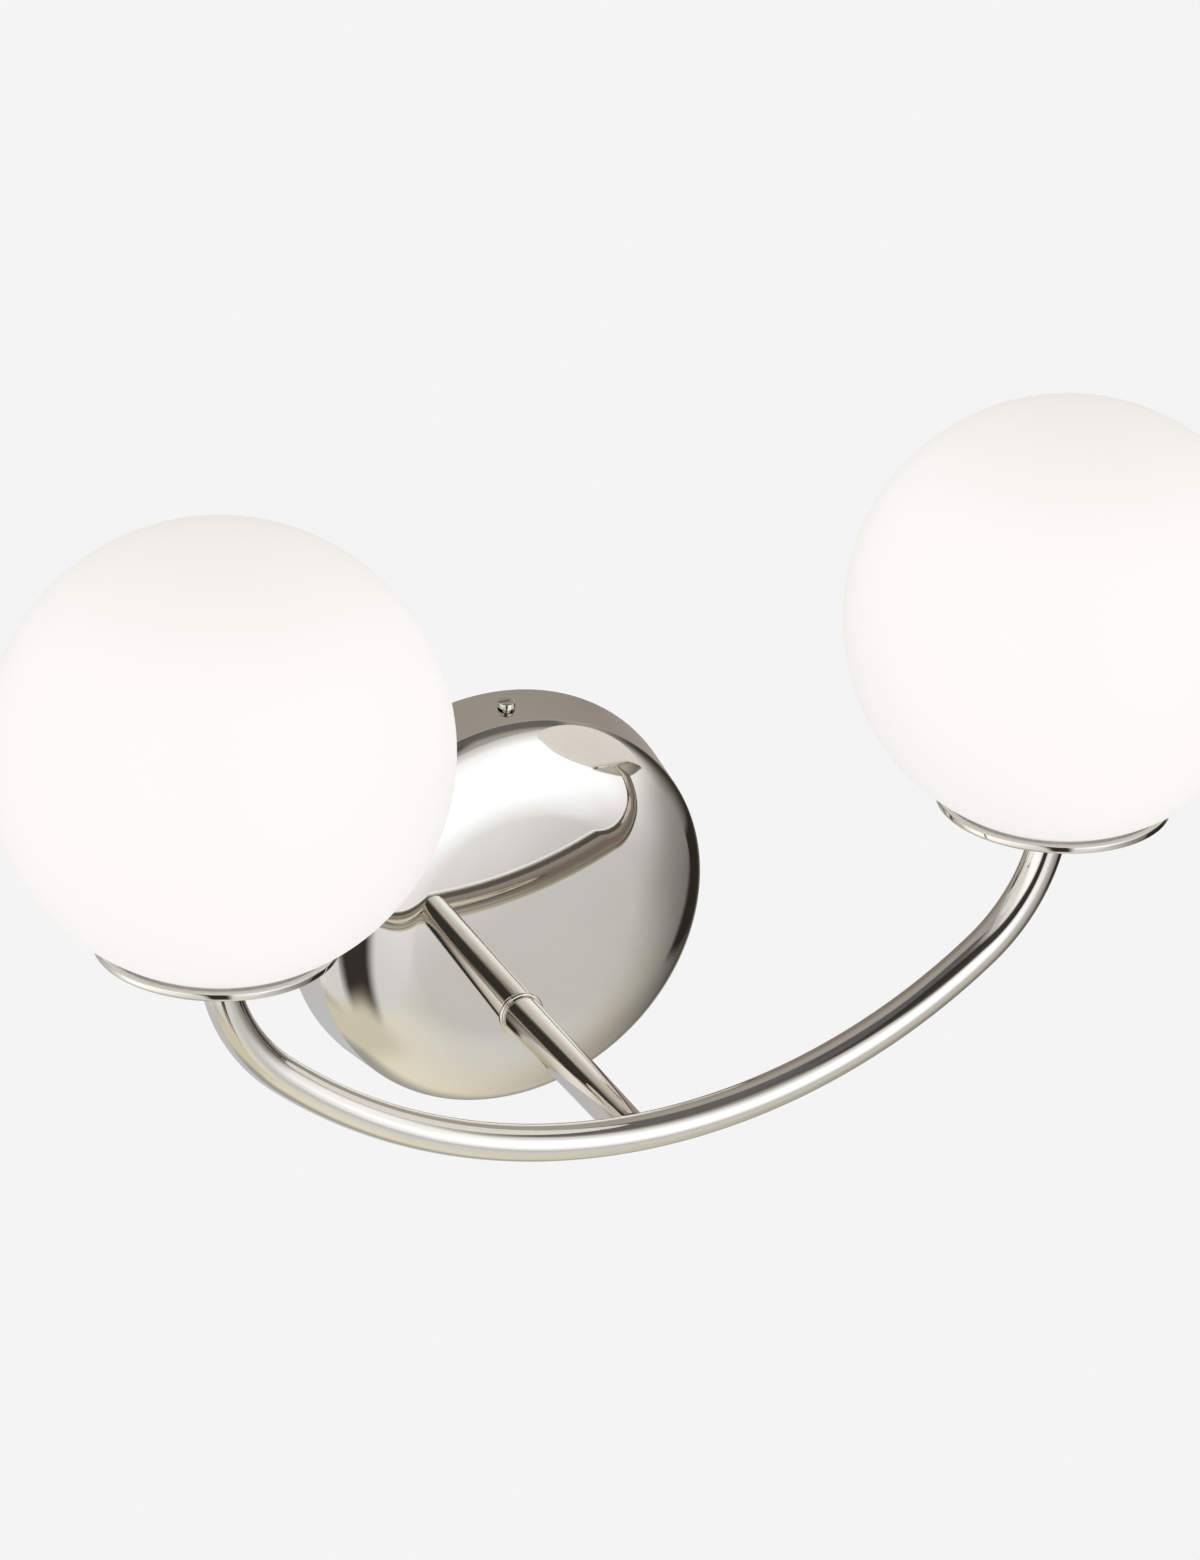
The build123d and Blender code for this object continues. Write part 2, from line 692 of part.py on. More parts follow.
# Bulb: pinch base, frosted envelope and two wire loop pins
with BuildPart() as bulb_base:
    with BuildSketch(Plane.XY.offset(socket_floor)):
        RectangleRounded(socket_length - 2 * bulb_play, socket_width - 2 * bulb_play, bulb_base_round)
    extrude(amount=bulb_base_height)

with BuildPart() as bulb_envelope:
    with BuildSketch(Plane.XZ):
        with BuildLine():
            envelope_crown = bulb_base_top + envelope_height - envelope_radius
            outer = CenterArc((0, envelope_crown), envelope_radius, 0, 90)
            Polyline(outer @ 0, (envelope_radius, bulb_base_top), (0, bulb_base_top))
            Line((0, bulb_base_top), (0, bulb_base_top + envelope_wall))
            inner = CenterArc((0, envelope_crown), envelope_radius - envelope_wall, 0, 90)
            Polyline(
                inner @ 0,
                (envelope_radius - envelope_wall, bulb_base_top + envelope_wall),
                (0, bulb_base_top + envelope_wall),
            )
            Line(inner @ 1, outer @ 1)
        make_face()
    revolve(axis=Axis.Z)

with BuildPart() as pin_loop:
    with BuildLine(Plane.XZ) as loop_line:
        FilletPolyline(
            (-pin_loop_width / 2, socket_floor),
            (-pin_loop_width / 2, socket_floor - pin_length + pin_wire_radius),
            (pin_loop_width / 2, socket_floor - pin_length + pin_wire_radius),
            (pin_loop_width / 2, socket_floor),
            radius=0.45 * pin_loop_width,
        )
    loop_path = loop_line.wire()
    with BuildSketch(Plane(origin=loop_path @ 0, z_dir=loop_path % 0)):
        Circle(pin_wire_radius)
    sweep(path=loop_path)
with BuildPart() as bulb_pins:
    with Locations(*[(x, y, 0) for x, y in pin_places]):
        add(pin_loop.part)

head_pieces = {
    "globe": globe.part,
    "globe_seat": globe_seat.part,
    "globe_gasket": globe_gasket.part,
    "globe_spring": globe_spring.part,
    "cup_nipple": nipple(Plane.XY.offset(bow_end_z - nipple_grip), nipple_top - bow_end_z + nipple_grip),
    "seat_lock_washer": tooth_washer(Plane.XY.offset(bracket_top)),
    "seat_lock_nut": lock_nut(Plane.XY.offset(washer_top)),
    "lampholder_bracket": lampholder_bracket.part,
    "lampholder_body": lampholder_body.part,
    "lampholder_screws": lampholder_screws.part,
    "lampholder_contacts": lampholder_contacts.part,
    "bulb_base": bulb_base.part,
    "bulb_envelope": bulb_envelope.part,
    "bulb_pins": bulb_pins.part,
}
cup_cutter = bow_envelope(cup_tube_gap)


def quarter_turn(start: Vector, ahead: Vector, aside: Vector, radius: float) -> tuple[Vector, Vector]:
    """Middle and end of a quarter circle that leaves a point straight ahead and ends going aside."""
    half = sqrt(0.5)
    middle = start + ahead * (radius * half) + aside * (radius * (1 - half))
    return middle, start + (ahead + aside) * radius


def lead(side: int, layer: int) -> Part:
    """Insulated lead from one lampholder contact, down the bow, along the arm and into a splice cap.

    side is -1 for the left head and 1 for the right; layer is 1 for the outer lead of the pair, which
    turns to +X in the canopy, and -1 for the inner one, which turns to -X.
    """
    offset = layer * lead_spread
    wide = bow_bottom_radius + offset
    tight = bow_end_radius + offset
    head_x = side * globe_x
    contact_x = head_x + side * layer * bulb_pitch / 2
    bore_x = head_x + side * offset
    end_centre = (side * end_centre_x, bow_end_z)
    bottom_centre = (0, bow_bottom_z)
    knuckle = 270 + side * knuckle_angle
    upright = 270 + side * 90
    turn_angle = degrees(asin((tee_turn + lead_spread) / wide))
    turn_start = bow_point(bottom_centre, wide, 270 + side * turn_angle)
    inward = Vector(-side * cos(radians(turn_angle)), 0, -sin(radians(turn_angle)))
    back = Vector(0, 1, 0)
    turn_middle, turn_end = quarter_turn(turn_start, inward, back, tee_turn)
    run_depth = cap_depth + lead_spread * (1 if side == layer else -1)
    bend_start = Vector(turn_end.X, -run_depth - canopy_turn, turn_end.Z)
    across = Vector(layer, 0, 0)
    bend_middle, bend_end = quarter_turn(bend_start, back, across, canopy_turn)
    lead_end = Vector(layer * (cap_mouth_x + lead_in_cap), bend_end.Y, bend_end.Z)
    with BuildPart() as wire:
        with BuildLine() as line:
            FilletPolyline(
                (contact_x, -bow_reach, pin_cell_floor),
                (contact_x, -bow_reach, holder_z - lead_radius),
                (bore_x, -bow_reach, nipple_top + lead_radius),
                (bore_x, -bow_reach, bow_end_z),
                radius=lead_bend,
            )
            ThreePointArc(
                bow_point(end_centre, tight, upright),
                bow_point(end_centre, tight, (upright + knuckle) / 2),
                bow_point(end_centre, tight, knuckle),
            )
            ThreePointArc(
                bow_point(bottom_centre, wide, knuckle),
                bow_point(bottom_centre, wide, (knuckle + 270 + side * turn_angle) / 2),
                turn_start,
            )
            ThreePointArc(turn_start, turn_middle, turn_end)
            Line(turn_end, bend_start)
            ThreePointArc(bend_start, bend_middle, bend_end)
            Line(bend_end, lead_end)
        path = line.wire()
        with BuildSketch(Plane(origin=path @ 0, z_dir=path % 0)):
            Circle(lead_radius)
        sweep(path=path)
    return wire.part


for side_name, side in (("left", -1), ("right", 1)):
    head = Location((side * globe_x, -bow_reach, 0))
    for piece_name, piece in head_pieces.items():
        save(piece.moved(head), f"{piece_name}_{side_name}")
    with BuildPart() as cup:
        add(cup_shell.part.moved(head))
        add(cup_cutter, mode=Mode.SUBTRACT)
    save(cup.part, f"cup_{side_name}")
    with BuildPart() as lead_wires:
        add(lead(side, 1))
        add(lead(side, -1))
    save(lead_wires.part, f"lead_wires_{side_name}")

# Splice caps: one closed cone over the live leads and one over the neutral leads
with BuildPart() as splice_caps:
    for layer in (1, -1):
        wide = bow_bottom_radius + layer * lead_spread
        turn_angle = asin((tee_turn + lead_spread) / wide)
        cap_z = bow_bottom_z - wide * cos(turn_angle) - tee_turn * sin(turn_angle)
        mouth = Plane(
            origin=(layer * cap_mouth_x, -cap_depth, cap_z), x_dir=(0, 1, 0), z_dir=(layer, 0, 0)
        )
        with BuildSketch(mouth):
            Circle(cap_mouth_radius)
        with BuildSketch(mouth.offset(cap_length)):
            Circle(cap_end_radius)
        loft()
        with BuildSketch(mouth):
            Circle(lead_spread + lead_radius + cap_fit)
        extrude(amount=cap_bore_depth, mode=Mode.SUBTRACT)
save(splice_caps.part, "splice_caps")
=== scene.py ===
"""Vanity light: a domed wall canopy, a straight arm and a bowed tube that carries two lit opal globes.

Lengths are in metres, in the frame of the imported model: X runs along the wall, Y into it and Z up.
"""

from __future__ import annotations

import json
import logging
import math
from dataclasses import dataclass, field
from enum import Enum
from typing import Any, Sequence, Union

import bmesh
import bpy
from mathutils import Matrix, Vector

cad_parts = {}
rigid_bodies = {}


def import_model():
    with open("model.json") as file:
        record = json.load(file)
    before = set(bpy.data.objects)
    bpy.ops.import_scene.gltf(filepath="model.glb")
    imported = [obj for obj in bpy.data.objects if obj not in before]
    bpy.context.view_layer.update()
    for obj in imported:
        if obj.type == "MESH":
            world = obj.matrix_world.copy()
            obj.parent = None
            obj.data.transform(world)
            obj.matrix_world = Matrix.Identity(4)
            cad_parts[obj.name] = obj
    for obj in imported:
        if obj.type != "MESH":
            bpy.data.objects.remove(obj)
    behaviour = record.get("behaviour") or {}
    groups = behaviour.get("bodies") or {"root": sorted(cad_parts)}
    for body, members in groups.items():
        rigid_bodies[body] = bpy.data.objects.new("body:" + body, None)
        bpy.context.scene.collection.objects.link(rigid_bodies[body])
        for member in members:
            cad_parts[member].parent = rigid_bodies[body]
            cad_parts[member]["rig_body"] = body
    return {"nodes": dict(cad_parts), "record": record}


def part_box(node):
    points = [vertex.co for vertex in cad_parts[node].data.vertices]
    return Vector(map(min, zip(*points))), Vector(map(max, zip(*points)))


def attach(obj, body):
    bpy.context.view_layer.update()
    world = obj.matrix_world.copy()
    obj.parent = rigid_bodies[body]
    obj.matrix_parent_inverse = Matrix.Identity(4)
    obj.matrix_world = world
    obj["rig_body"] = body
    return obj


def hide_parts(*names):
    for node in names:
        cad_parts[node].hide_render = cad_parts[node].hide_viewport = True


LOG = logging.getLogger("vanity_light")
MM = 0.001
LATHE_STEPS = 192
SMOOTH_LIMIT = math.radians(35)
MERGE_DISTANCE = 0.004 * MM
SENSOR_WIDTH = 36.0
SEAT_ABOVE_CUP = 11.6 * MM
POLISHED_IN_HEAD = ("bulb_envelope", "bulb_base", "bulb_pins", "lampholder_body", "globe_spring")

Colour = tuple[float, float, float]
Point = tuple[float, float, float]
Span = tuple[float, float]


class Side(Enum):
    """Which of the two lamp heads."""

    LEFT = "left"
    RIGHT = "right"


class Slot(Enum):
    """Material slots of the record whose finishes the new pieces share."""

    NICKEL = "polished_nickel"
    OPAL = "opal_glass"


class Value:
    """A number socket in a node tree; arithmetic on it adds Math nodes."""

    def __init__(self, graph: Graph, socket: bpy.types.NodeSocket) -> None:
        """Wrap one output socket."""
        self.graph = graph
        self.socket = socket

    def _math(self, operation: str, first: Number, second: Number) -> Value:
        """Add a Math node on two operands."""
        node = self.graph.node("ShaderNodeMath", {"operation": operation}, {0: first, 1: second})
        return Value(self.graph, node.outputs[0])

    def __add__(self, other: Number) -> Value:
        """Sum with a number or another value."""
        return self._math("ADD", self, other)

    def __radd__(self, other: Number) -> Value:
        """Sum with a number on the left."""
        return self._math("ADD", other, self)

    def __sub__(self, other: Number) -> Value:
        """Difference from a number or another value."""
        return self._math("SUBTRACT", self, other)

    def __rsub__(self, other: Number) -> Value:
        """Difference with a number on the left."""
        return self._math("SUBTRACT", other, self)

    def __mul__(self, other: Number) -> Value:
        """Product with a number or another value."""
        return self._math("MULTIPLY", self, other)

    def __rmul__(self, other: Number) -> Value:
        """Product with a number on the left."""
        return self._math("MULTIPLY", other, self)

    def __abs__(self) -> Value:
        """Size without its sign."""
        return self._math("ABSOLUTE", self, 0.0)

    def above(self, limit: float) -> Value:
        """1 where the value is above a limit, else 0."""
        return self._math("GREATER_THAN", self, limit)

    def degrees_to(self, other: Value) -> Value:
        """Angle in degrees whose tangent is this value over another."""
        return self._math("ARCTAN2", self, other) * math.degrees(1.0)

    def smooth_step(self, low: float, high: float) -> Value:
        """Ease from 0 at low to 1 at high."""
        settings = {"interpolation_type": "SMOOTHSTEP"}
        inputs = {"Value": self, "From Min": low, "From Max": high}
        node = self.graph.node("ShaderNodeMapRange", settings, inputs)
        return Value(self.graph, node.outputs["Result"])

    def vary(self, mean: float, spread: float) -> Value:
        """A level that this value, from 0 to 1, moves by a share of its mean each way."""
        return mean * (1.0 - spread + 2 * spread * self)


Number = Union[Value, float]


class Graph:
    """Makes and links the nodes of one material or world."""

    def __init__(self, tree: bpy.types.NodeTree) -> None:
        """Start from an emptied node tree."""
        self.tree = tree
        tree.nodes.clear()

    def node(
        self,
        kind: str,
        settings: dict[str, Any] | None = None,
        inputs: dict[Any, Any] | None = None,
    ) -> bpy.types.Node:
        """Add one node.

        Args:
            kind: The node's type name.
            settings: Attributes of the node, set before its sockets.
            inputs: Socket name or index to a number, colour, value or output socket.

        Returns:
            The new node.
        """
        made = self.tree.nodes.new(kind)
        for name, setting in (settings or {}).items():
            setattr(made, name, setting)
        for key, given in (inputs or {}).items():
            socket = made.inputs[key]
            if isinstance(given, Value):
                self.tree.links.new(given.socket, socket)
            elif isinstance(given, bpy.types.NodeSocket):
                self.tree.links.new(given, socket)
            elif isinstance(given, tuple) and len(given) == 3 and socket.type == "RGBA":
                socket.default_value = (*given, 1.0)
            else:
                socket.default_value = given
        return made

    def mix(self, factor: Number, first: Any, second: Any) -> bpy.types.NodeSocket:
        """Blend two colours.

        Args:
            factor: 0 gives the first colour and 1 the second.
            first: A colour or a colour socket.
            second: A colour or a colour socket.

        Returns:
            The blended colour's socket.
        """
        settings = {"data_type": "RGBA"}
        node = self.node("ShaderNodeMix", settings, {"Factor": factor, 6: first, 7: second})
        return node.outputs[2]

    def dot(self, first: bpy.types.NodeSocket, second: Vector) -> Value:
        """How far a vector socket reaches along a direction."""
        settings = {"operation": "DOT_PRODUCT"}
        node = self.node("ShaderNodeVectorMath", settings, {0: first, 1: tuple(second)})
        return Value(self, node.outputs["Value"])

    def noise(self, place: bpy.types.NodeSocket, scale: float, detail: float) -> Value:
        """Cloudy noise from 0 to 1 at a place, with its scale in cycles per metre."""
        inputs = {"Vector": place, "Scale": scale, "Detail": detail}
        node = self.node("ShaderNodeTexNoise", None, inputs)
        return Value(self, node.outputs["Fac"])

    def bump(self, height: Value, depth: float, strength: float) -> bpy.types.NodeSocket:
        """Surface normal raised by a height that spans 0 to 1 over a depth in metres."""
        inputs = {"Height": height, "Distance": depth, "Strength": strength}
        node = self.node("ShaderNodeBump", None, inputs)
        return node.outputs["Normal"]


class Finish:
    """A named surface finish that makes its material once."""

    name: str

    def shade(self, graph: Graph, place: bpy.types.NodeSocket) -> bpy.types.Node:
        """Return the surface shader for this finish."""
        raise NotImplementedError

    def material(self) -> bpy.types.Material:
        """Return the finish's material, made on first use."""
        known = bpy.data.materials.get(self.name)
        if known:
            return known
        made = bpy.data.materials.new(self.name)
        made.use_nodes = True
        graph = Graph(made.node_tree)
        place = graph.node("ShaderNodeTexCoord").outputs["Object"]
        shader = self.shade(graph, place)
        graph.node("ShaderNodeOutputMaterial", None, {"Surface": shader.outputs[0]})
        return made


@dataclass(frozen=True)
class MetalFinish(Finish):
    """Bare or plated metal with faint tone drift and fine polishing or rolling marks.

    Attributes:
        name: Material name.
        tint: Main colour.
        drift: Colour that the tone drifts towards in patches.
        smoothest: Lowest roughness.
        roughest: Highest roughness.
        patch: Size of the tone patches, in cycles per metre.
        grain: Size of the fine marks, in cycles per metre.
        relief: Depth of the fine marks.
        bump: Strength of the fine marks.
        patch_edge: Levels of the noise between which a patch fades in.
        patch_share: Share of the roughness that follows the patches; the rest follows the marks.
    """

    name: str
    tint: Colour
    drift: Colour
    smoothest: float
    roughest: float
    patch: float = 40.0
    grain: float = 900.0
    relief: float = 0.002 * MM
    bump: float = 0.3
    patch_edge: Span = (0.3, 0.7)
    patch_share: float = 0.6

    def shade(self, graph: Graph, place: bpy.types.NodeSocket) -> bpy.types.Node:
        """Return a metal shader whose tone and roughness drift over the surface."""
        tone = graph.noise(place, self.patch, detail=3.0).smooth_step(*self.patch_edge)
        marks = graph.noise(place, self.grain, detail=4.0)
        wear = self.patch_share * tone + (1.0 - self.patch_share) * marks
        return graph.node(
            "ShaderNodeBsdfPrincipled",
            None,
            {
                "Base Color": graph.mix(tone, self.tint, self.drift),
                "Metallic": 1.0,
                "Roughness": self.smoothest + (self.roughest - self.smoothest) * wear,
                "Normal": graph.bump(marks, self.relief, self.bump),
            },
        )


@dataclass(frozen=True)
class MouldedFinish(Finish):
    """Moulded, glazed or sleeved surface with a speckle and a fine skin texture.

    Attributes:
        name: Material name.
        tint: Main colour.
        speck: Colour of the speckle.
        roughness: Mean roughness.
        coat: Strength of a clear glaze.
        grain: Size of the skin texture, in cycles per metre.
        relief: Depth of the skin texture.
        bump: Strength of the skin texture.
        spread: Share by which the roughness varies each way.
        speck_scale: Scale of the speckle, as a share of the grain.
        speck_edge: Levels of the noise between which a speck fades in.
    """

    name: str
    tint: Colour
    speck: Colour
    roughness: float
    coat: float = 0.0
    grain: float = 1500.0
    relief: float = 0.01 * MM
    bump: float = 0.4
    spread: float = 0.15
    speck_scale: float = 0.2
    speck_edge: Span = (0.35, 0.75)

    def shade(self, graph: Graph, place: bpy.types.NodeSocket) -> bpy.types.Node:
        """Return a plastic-like shader with a speckled tone."""
        skin = graph.noise(place, self.grain, detail=3.0)
        speckle = graph.noise(place, self.speck_scale * self.grain, detail=2.0)
        tone = speckle.smooth_step(*self.speck_edge)
        return graph.node(
            "ShaderNodeBsdfPrincipled",
            None,
            {
                "Base Color": graph.mix(tone, self.tint, self.speck),
                "Roughness": skin.vary(self.roughness, self.spread),
                "Coat Weight": self.coat,
                "Normal": graph.bump(skin, self.relief, self.bump),
            },
        )


@dataclass(frozen=True)
class GlowFinish(Finish):
    """Milky glass lit from inside: an even glow that is fainter at its crown.

    Attributes:
        name: Material name.
        tint: Colour of the glass itself.
        lit: Glow of most of the glass.
        crown: Glow at the top.
        edge: Tint of the clear skin, which shows most where the glass is seen edge on.
        low: Height where the glow starts to fade.
        high: Height where the glow is that of the crown.
        roughness: Mean roughness.
        spread: Share by which the roughness varies each way.
        cloud: Size of the clouds in the glass, in cycles per metre.
        waver: How far the clouds shift the glow up and down, from end to end.
        coat: Strength of the clear skin.
        coat_index: Refractive index of the clear skin.
    """

    name: str
    tint: Colour
    lit: Colour
    crown: Colour
    edge: Colour
    low: float
    high: float
    roughness: float
    spread: float = 0.1
    cloud: float = 25.0
    waver: float = 4 * MM
    coat: float = 0.4
    coat_index: float = 1.35

    def shade(self, graph: Graph, place: bpy.types.NodeSocket) -> bpy.types.Node:
        """Return a glossy white shader with a glow that follows height."""
        split = graph.node("ShaderNodeSeparateXYZ", None, {"Vector": place})
        cloud = graph.noise(place, self.cloud, detail=2.0)
        height = Value(graph, split.outputs["Z"]) + self.waver * (cloud - 0.5)
        glow = graph.mix(height.smooth_step(self.low, self.high), self.lit, self.crown)
        return graph.node(
            "ShaderNodeBsdfPrincipled",
            None,
            {
                "Base Color": self.tint,
                "Roughness": cloud.vary(self.roughness, self.spread),
                "Specular IOR Level": 0.0,
                "Coat Weight": self.coat,
                "Coat Roughness": self.roughness,
                "Coat IOR": self.coat_index,
                "Coat Tint": (*self.edge, 1.0),
                "Emission Color": glow,
                "Emission Strength": 1.0,
            },
        )


POLISHED_NICKEL = MetalFinish(
    "nickel_polish",
    tint=(0.735, 0.695, 0.64),
    drift=(0.72, 0.68, 0.62),
    smoothest=0.015,
    roughest=0.035,
)
ZINC_STEEL = MetalFinish(
    "zinc_plate",
    tint=(0.62, 0.63, 0.65),
    drift=(0.50, 0.51, 0.53),
    smoothest=0.25,
    roughest=0.42,
    patch=160.0,
    grain=2500.0,
    relief=0.02 * MM,
)
SPRING_STEEL = MetalFinish(
    "spring_strip",
    tint=(0.60, 0.61, 0.62),
    drift=(0.52, 0.52, 0.54),
    smoothest=0.18,
    roughest=0.30,
    patch=90.0,
    grain=3000.0,
)
CONTACT_BRASS = MetalFinish(
    "brass_strip",
    tint=(0.80, 0.62, 0.30),
    drift=(0.68, 0.50, 0.24),
    smoothest=0.20,
    roughest=0.36,
    patch=220.0,
    grain=3000.0,
)
PIN_WIRE = MetalFinish(
    "bright_wire",
    tint=(0.72, 0.71, 0.69),
    drift=(0.64, 0.63, 0.61),
    smoothest=0.18,
    roughest=0.30,
    patch=220.0,
    grain=3000.0,
)
EARTH_SCREW = MetalFinish(
    "earth_screw",
    tint=(0.16, 0.40, 0.19),
    drift=(0.12, 0.32, 0.15),
    smoothest=0.28,
    roughest=0.40,
    patch=220.0,
    grain=3000.0,
)
WHITE_CERAMIC = MouldedFinish(
    "glazed_ceramic", tint=(0.86, 0.85, 0.82), speck=(0.80, 0.79, 0.75), roughness=0.30, coat=0.5
)
BULB_FOOT = MouldedFinish(
    "bulb_foot", tint=(0.85, 0.84, 0.81), speck=(0.79, 0.78, 0.74), roughness=0.34, coat=0.3
)
PALE_SILICONE = MouldedFinish(
    "pale_silicone", tint=(0.82, 0.82, 0.80), speck=(0.76, 0.76, 0.74), roughness=0.55
)
LEAD_SLEEVE = MouldedFinish(
    "lead_sleeve",
    tint=(0.84, 0.83, 0.78),
    speck=(0.74, 0.72, 0.66),
    roughness=0.62,
    grain=2600.0,
    relief=0.05 * MM,
)
EARTH_SLEEVE = MouldedFinish(
    "earth_sleeve", tint=(0.16, 0.42, 0.15), speck=(0.12, 0.34, 0.12), roughness=0.48
)
CAP_PLASTIC = MouldedFinish(
    "grey_plastic", tint=(0.42, 0.43, 0.45), speck=(0.37, 0.38, 0.40), roughness=0.45
)

NODE_FINISH: dict[str, Finish] = {
    "polished_nickel": POLISHED_NICKEL,
    "zinc_steel": ZINC_STEEL,
    "spring_steel": SPRING_STEEL,
    "contact_brass": CONTACT_BRASS,
    "white_ceramic": WHITE_CERAMIC,
    "clear_silicone": PALE_SILICONE,
    "lead_insulation": LEAD_SLEEVE,
    "earth_insulation": EARTH_SLEEVE,
    "earth_green": EARTH_SCREW,
    "cap_plastic": CAP_PLASTIC,
    "pinch_ceramic": BULB_FOOT,
    "pin_wire": PIN_WIRE,
}


def finish_piece(
    mesh: bmesh.types.BMesh,
    name: str,
    body: str,
    finish: Finish,
    nodes: Sequence[str],
) -> bpy.types.Object:
    """Turn a finished mesh into a shown piece.

    Args:
        mesh: The modelled shape, in place; it is freed.
        name: Name of the new object.
        body: CAD body that the piece moves with.
        finish: Surface finish.
        nodes: CAD nodes that the piece stands for.

    Returns:
        The new object.
    """
    for face in mesh.faces:
        face.smooth = True
    for edge in mesh.edges:
        edge.smooth = not edge.is_manifold or edge.calc_face_angle() < SMOOTH_LIMIT
    data = bpy.data.meshes.new(name)
    mesh.to_mesh(data)
    mesh.free()
    data.materials.append(finish.material())
    piece = bpy.data.objects.new(name, data)
    bpy.context.scene.collection.objects.link(piece)
    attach(piece, body)
    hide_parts(*nodes)
    LOG.info("%s: %d faces on %s", name, len(data.polygons), body)
    return piece


def nickel_piece(mesh: bmesh.types.BMesh, name: str, node: str) -> bpy.types.Object:
    """Turn a finished mesh into a polished piece of the fixed light that stands for one CAD node."""
    return finish_piece(mesh, name, "fixture", POLISHED_NICKEL, [node])


class Pen:
    """Draws a lathe profile as a chain of edges, from radius and height."""

    def __init__(self, radius: float, height: float) -> None:
        """Put the pen down at a first point."""
        self.mesh = bmesh.new()
        self.first = self.mesh.verts.new((radius, 0.0, height))
        self.tip = self.first

    def line(self, radius: float, height: float) -> Pen:
        """Draw a straight run to a point."""
        made = bmesh.ops.extrude_vert_indiv(self.mesh, verts=[self.tip])
        self.tip = made["verts"][0]
        self.tip.co = (radius, 0.0, height)
        return self

    def arc(self, radius: float, height: float, turn: float, steps: int) -> Pen:
        """Draw an arc round a centre.

        Args:
            radius: The centre's distance from the lathe axis.
            height: The centre's height.
            turn: Angle in degrees, counter-clockwise with radius to the right and height up.
            steps: Number of straight pieces.

        Returns:
            The pen.
        """
        made = bmesh.ops.spin(
            self.mesh,
            geom=[self.tip],
            cent=(radius, 0.0, height),
            axis=(0.0, -1.0, 0.0),
            angle=math.radians(turn),
            steps=steps,
        )
        self.tip = next(item for item in made["geom_last"] if isinstance(item, bmesh.types.BMVert))
        return self

    def close(self) -> Pen:
        """Join the pen's tip to its first point."""
        self.mesh.edges.new((self.tip, self.first))
        return self

    def lathe(self, place: Matrix) -> bmesh.types.BMesh:
        """Turn the profile into a closed solid of revolution.

        Args:
            place: Takes the lathe's frame, with its axis along Z, to the object's frame.

        Returns:
            The mesh, with its faces outwards.
        """
        bmesh.ops.spin(
            self.mesh,
            geom=self.mesh.verts[:] + self.mesh.edges[:],
            cent=(0.0, 0.0, 0.0),
            axis=(0.0, 0.0, 1.0),
            angle=math.tau,
            steps=LATHE_STEPS,
            use_merge=True,
        )
        bmesh.ops.remove_doubles(self.mesh, verts=self.mesh.verts[:], dist=MERGE_DISTANCE)
        bmesh.ops.transform(self.mesh, matrix=place, verts=self.mesh.verts[:])
        bmesh.ops.recalc_face_normals(self.mesh, faces=self.mesh.faces[:])
        return self.mesh


def facing_room(z: float = 0.0) -> Matrix:
    """Frame of a lathe whose height is the distance in front of the wall."""
    return Matrix.Translation((0.0, 0.0, z)) @ Matrix.Rotation(math.radians(90), 4, "X")


